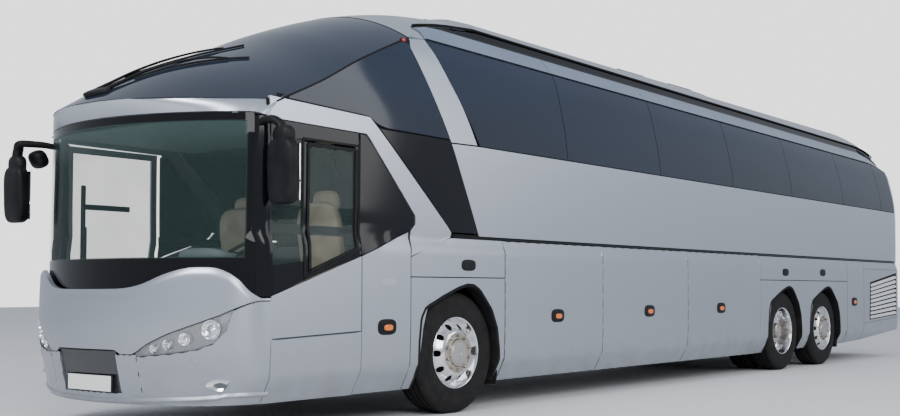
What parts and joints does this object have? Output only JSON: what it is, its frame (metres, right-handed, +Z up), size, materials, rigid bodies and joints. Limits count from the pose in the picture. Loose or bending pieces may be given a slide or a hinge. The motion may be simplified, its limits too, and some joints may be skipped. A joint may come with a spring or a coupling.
{
  "type": "three-axle high-deck touring coach",
  "caption": "Long high-deck touring coach with raked upper windscreen, dark side glass, lifting luggage flaps, swing-out doors, steered front axle and freely turning wheels.",
  "frame": {"origin": "on the ground under the middle of the bounding box", "axes": "+X to the vehicle's left, +Y to the rear, +Z up; the front faces -Y"},
  "size_m": [3.11, 13.99, 3.68],
  "materials": {
    "paint": "metallic gloss",
    "tinted_glass": "dark tinted",
    "clear_glass": "clear greenish",
    "lamp": "clear lens over chrome reflectors",
    "black_plastic": "grained",
    "dash_plastic": "soft touch",
    "seat_leather": "cream, stitched",
    "seat_fabric": "woven",
    "chassis": "satin black",
    "floor": "anti-slip",
    "engine_iron": "cast",
    "steel": "machined",
    "tyre": "moulded",
    "polished_metal": "polished"
  },
  "bodies": {
    "coach_body": {"chassis_frame": "chassis", "floors": "floor", "roof_shell": "paint", "left_wall": "paint", "right_wall": "paint", "rear_wall": "paint", "left_windows": "tinted_glass", "right_windows": "tinted_glass", "rear_window": "tinted_glass", "front_mask": "paint", "front_bumper": "paint", "windscreen": "clear_glass", "visor_band": "paint", "upper_windscreen": "tinted_glass", "lamps": "lamp", "mirrors": "black_plastic", "wipers": "black_plastic", "dashboard": "dash_plastic", "driver_seats": "seat_leather", "passenger_seats": "seat_fabric", "wheel_housings": "black_plastic", "front_axle": "chassis", "rear_axles": "chassis", "engine": "engine_iron", "roof_unit": "paint"},
    "left_knuckle": {"left_knuckle": "steel"},
    "right_knuckle": {"right_knuckle": "steel"},
    "front_left_wheel": {"front_left_tyre": "tyre", "front_left_rim": "polished_metal"},
    "front_right_wheel": {"front_right_tyre": "tyre", "front_right_rim": "polished_metal"},
    "drive_left_wheel": {"drive_left_tyres": "tyre", "drive_left_rims": "polished_metal"},
    "drive_right_wheel": {"drive_right_tyres": "tyre", "drive_right_rims": "polished_metal"},
    "tag_left_wheel": {"tag_left_tyre": "tyre", "tag_left_rim": "polished_metal"},
    "tag_right_wheel": {"tag_right_tyre": "tyre", "tag_right_rim": "polished_metal"},
    "front_door": {"front_door": "paint"},
    "front_door_arm": {"front_door_arm": "black_plastic"},
    "middle_door": {"middle_door": "paint"},
    "middle_door_arm": {"middle_door_arm": "black_plastic"},
    "left_storage_flap": {"left_storage_flap": "paint"},
    "left_luggage_flap_1": {"left_luggage_flap_1": "paint"},
    "left_luggage_flap_2": {"left_luggage_flap_2": "paint"},
    "left_luggage_flap_3": {"left_luggage_flap_3": "paint"},
    "right_luggage_flap_1": {"right_luggage_flap_1": "paint"},
    "right_luggage_flap_2": {"right_luggage_flap_2": "paint"},
    "left_engine_door": {"left_engine_door": "paint"},
    "right_engine_door": {"right_engine_door": "paint"},
    "engine_hatch": {"engine_hatch": "paint"},
    "roof_hatch_front": {"roof_hatch_front": "paint"},
    "roof_hatch_rear": {"roof_hatch_rear": "paint"}
  },
  "joints": [
    {"name": "left_steer", "type": "hinge", "parent": "coach_body", "child": "left_knuckle", "pos_m": [0.957, -4.245, 0.505], "axis": [0, 0, 1], "range_deg": [-40, 40]},
    {"name": "right_steer", "type": "hinge", "parent": "coach_body", "child": "right_knuckle", "pos_m": [-0.957, -4.245, 0.505], "axis": [0, 0, 1], "range_deg": [-40, 40]},
    {"name": "front_left_spin", "type": "hinge", "parent": "left_knuckle", "child": "front_left_wheel", "pos_m": [1.1, -4.245, 0.505], "axis": [1, 0, 0], "continuous": true},
    {"name": "front_right_spin", "type": "hinge", "parent": "right_knuckle", "child": "front_right_wheel", "pos_m": [-1.1, -4.245, 0.505], "axis": [1, 0, 0], "continuous": true},
    {"name": "drive_left_spin", "type": "hinge", "parent": "coach_body", "child": "drive_left_wheel", "pos_m": [0.9, 2.475, 0.505], "axis": [1, 0, 0], "continuous": true},
    {"name": "drive_right_spin", "type": "hinge", "parent": "coach_body", "child": "drive_right_wheel", "pos_m": [-0.9, 2.475, 0.505], "axis": [1, 0, 0], "continuous": true},
    {"name": "tag_left_spin", "type": "hinge", "parent": "coach_body", "child": "tag_left_wheel", "pos_m": [1.1, 3.825, 0.505], "axis": [1, 0, 0], "continuous": true},
    {"name": "tag_right_spin", "type": "hinge", "parent": "coach_body", "child": "tag_right_wheel", "pos_m": [-1.1, 3.825, 0.505], "axis": [1, 0, 0], "continuous": true},
    {"name": "front_door_swing", "type": "hinge", "parent": "coach_body", "child": "front_door_arm", "pos_m": [-1.17, -6.215, 1.3], "axis": [0, 0, 1], "range_deg": [0, 95]},
    {"name": "front_door_keep", "type": "hinge", "parent": "front_door_arm", "child": "front_door", "pos_m": [-1.17, -5.785, 1.3], "axis": [0, 0, 1], "range_deg": [-95, 0]},
    {"name": "middle_door_swing", "type": "hinge", "parent": "coach_body", "child": "middle_door_arm", "pos_m": [-1.17, 1.545, 1.3], "axis": [0, 0, -1], "range_deg": [0, 95]},
    {"name": "middle_door_keep", "type": "hinge", "parent": "middle_door_arm", "child": "middle_door", "pos_m": [-1.17, 1.115, 1.3], "axis": [0, 0, -1], "range_deg": [-95, 0]},
    {"name": "left_storage_flap_lift", "type": "hinge", "parent": "coach_body", "child": "left_storage_flap", "pos_m": [1.2718, -5.89, 0.7], "axis": [0, -1, 0], "range_deg": [0, 88]},
    {"name": "left_luggage_flap_1_lift", "type": "hinge", "parent": "coach_body", "child": "left_luggage_flap_1", "pos_m": [1.245, -2.79462, 1.456], "axis": [0, -1, 0], "range_deg": [0, 90]},
    {"name": "left_luggage_flap_2_lift", "type": "hinge", "parent": "coach_body", "child": "left_luggage_flap_2", "pos_m": [1.245, -1.07731, 1.456], "axis": [0, -1, 0], "range_deg": [0, 90]},
    {"name": "left_luggage_flap_3_lift", "type": "hinge", "parent": "coach_body", "child": "left_luggage_flap_3", "pos_m": [1.245, 0.75981, 1.456], "axis": [0, -1, 0], "range_deg": [0, 90]},
    {"name": "right_luggage_flap_1_lift", "type": "hinge", "parent": "coach_body", "child": "right_luggage_flap_1", "pos_m": [-1.245, -2.79462, 1.456], "axis": [0, 1, 0], "range_deg": [0, 90]},
    {"name": "right_luggage_flap_2_lift", "type": "hinge", "parent": "coach_body", "child": "right_luggage_flap_2", "pos_m": [-1.245, -1.07731, 1.456], "axis": [0, 1, 0], "range_deg": [0, 90]},
    {"name": "left_engine_door_swing", "type": "hinge", "parent": "coach_body", "child": "left_engine_door", "pos_m": [1.275, 5.365, 1], "axis": [0, 0, -1], "range_deg": [0, 110]},
    {"name": "right_engine_door_swing", "type": "hinge", "parent": "coach_body", "child": "right_engine_door", "pos_m": [-1.275, 5.365, 1], "axis": [0, 0, 1], "range_deg": [0, 110]},
    {"name": "engine_hatch_lift", "type": "hinge", "parent": "coach_body", "child": "engine_hatch", "pos_m": [0, 6.995, 1.41], "axis": [1, 0, 0], "range_deg": [0, 85]},
    {"name": "roof_hatch_front_lift", "type": "hinge", "parent": "coach_body", "child": "roof_hatch_front", "pos_m": [0, -1.945, 3.6], "axis": [1, 0, 0], "range_deg": [0, 60]},
    {"name": "roof_hatch_rear_lift", "type": "hinge", "parent": "coach_body", "child": "roof_hatch_rear", "pos_m": [0, 4.475, 3.6], "axis": [1, 0, 0], "range_deg": [0, 60]}
  ],
  "couplings": [
    {"joint": "right_steer", "follows": "left_steer", "ratio": 1},
    {"joint": "front_door_keep", "follows": "front_door_swing", "ratio": -1},
    {"joint": "middle_door_keep", "follows": "middle_door_swing", "ratio": -1}
  ]
}
